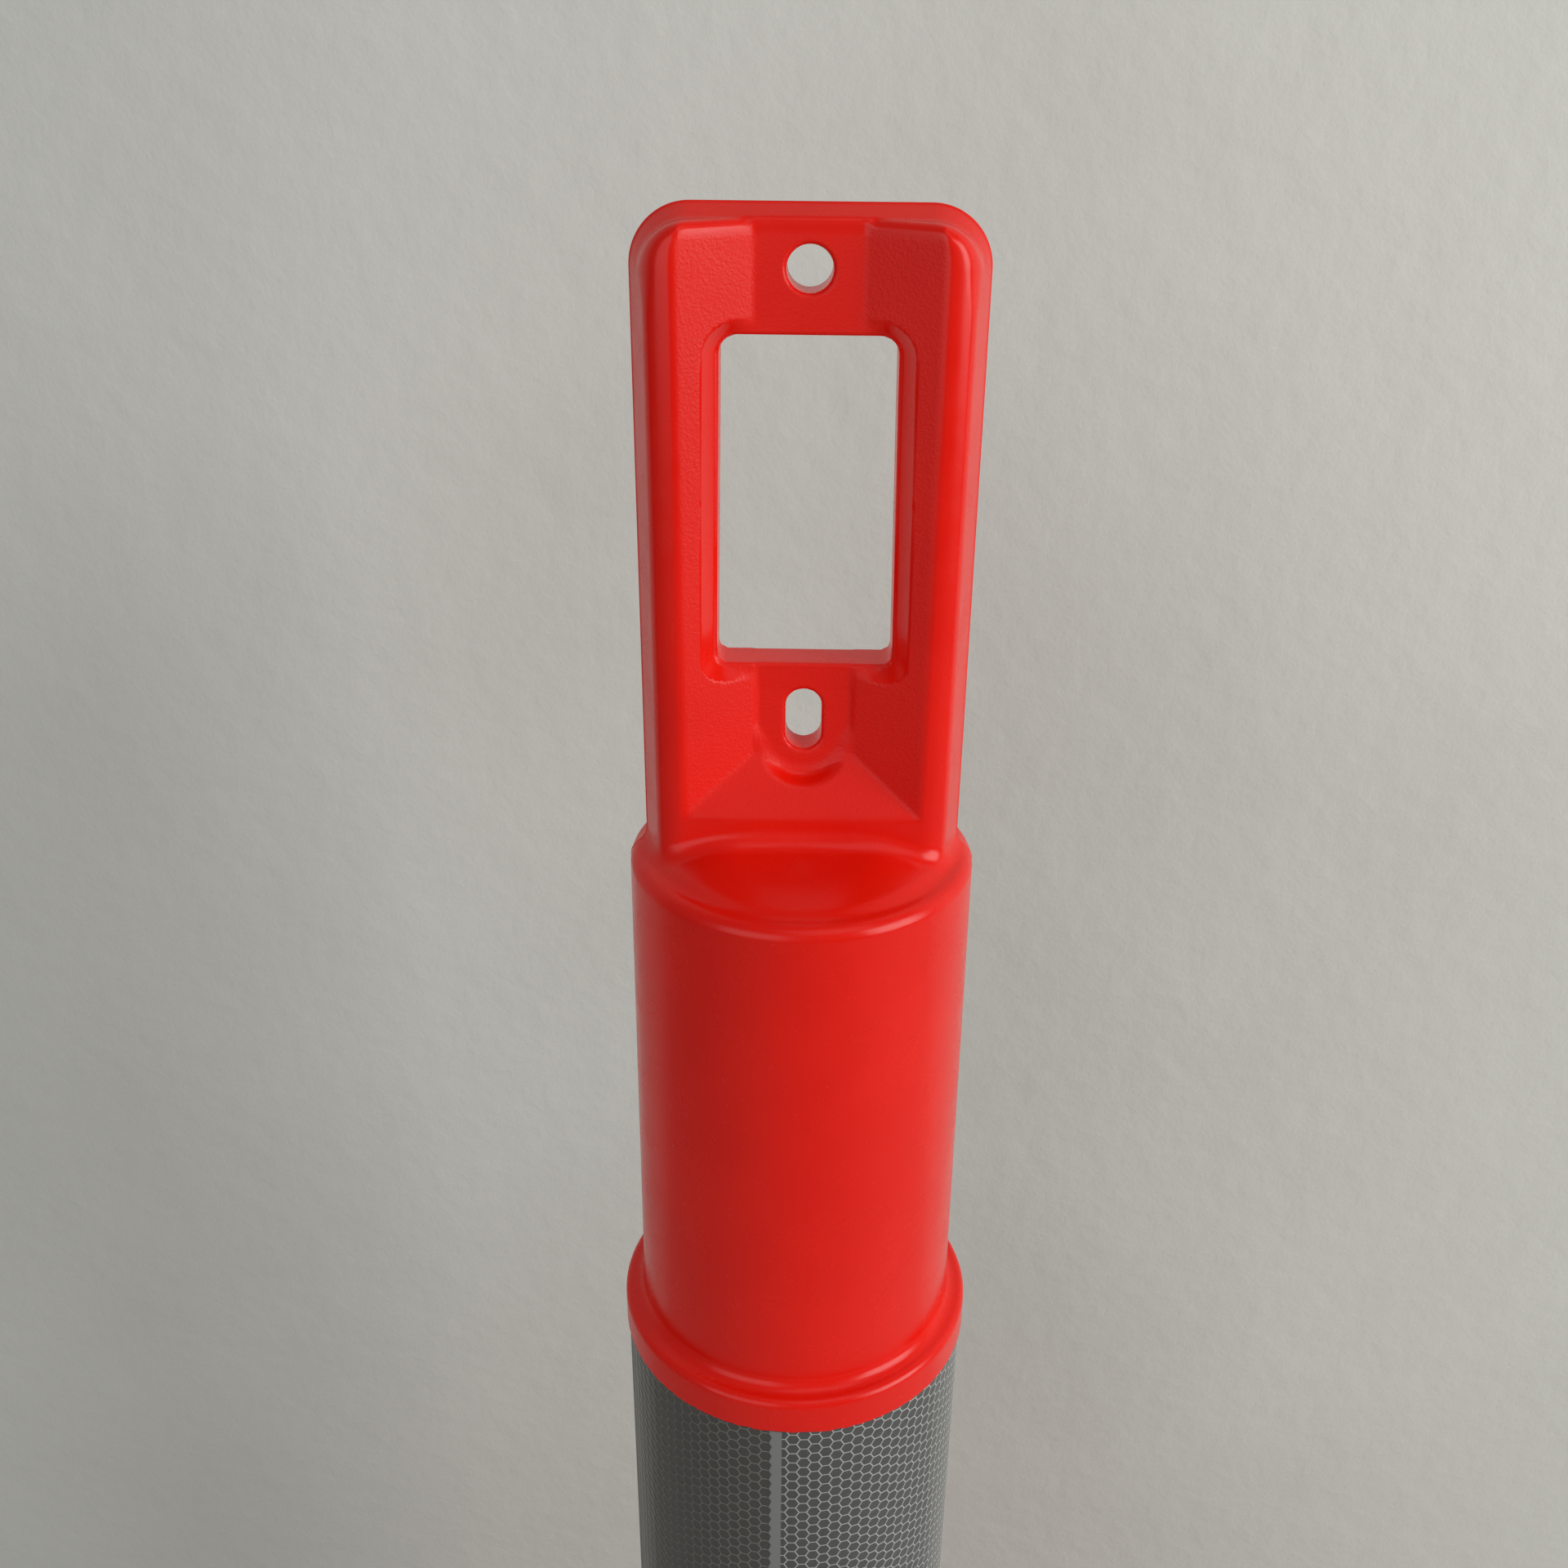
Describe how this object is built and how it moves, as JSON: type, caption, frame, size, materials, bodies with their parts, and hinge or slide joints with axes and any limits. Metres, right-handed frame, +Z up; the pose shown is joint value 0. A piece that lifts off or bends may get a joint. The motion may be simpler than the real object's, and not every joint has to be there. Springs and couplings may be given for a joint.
{
  "type": "traffic delineator post",
  "caption": "Portable traffic delineator post: loop-handled plastic head on a tube with a honeycomb reflective band, standing in a drop-over rubber base that lifts off.",
  "frame": {"origin": "middle of the underside, on the floor the post stands on", "axes": "+Z up along the post's axis, +X along the width of the loop handle, -Y out of the handle's front face"},
  "size_m": [0.4, 0.4, 1.15],
  "materials": {
    "red_plastic": "semi-gloss red-orange blow-moulded plastic with a fine sanded texture on the facets",
    "tube_plastic": "semi-gloss extruded red-orange plastic",
    "reflective_film": "glossy clear film over grey hexagonal cells with pale walls",
    "foot_plastic": "satin black moulded plastic",
    "rivet_alloy": "plain set rivet",
    "recycled_rubber": "matte pressed crumb rubber with pale flecks"
  },
  "bodies": {
    "post": {"handle_head": "red_plastic", "post_tube": "tube_plastic", "reflective_band": "reflective_film", "foot_flange": "foot_plastic", "head_rivet_1": "rivet_alloy", "head_rivet_2": "rivet_alloy", "head_rivet_3": "rivet_alloy", "head_rivet_4": "rivet_alloy", "foot_rivet_1": "rivet_alloy", "foot_rivet_2": "rivet_alloy", "foot_rivet_3": "rivet_alloy", "foot_rivet_4": "rivet_alloy"},
    "base": {"rubber_base": "recycled_rubber"}
  },
  "joints": [
    {"name": "base_lift", "type": "slide", "parent": "post", "child": "base", "axis": [0, 0, 1], "range_m": [0, 1.16]}
  ]
}
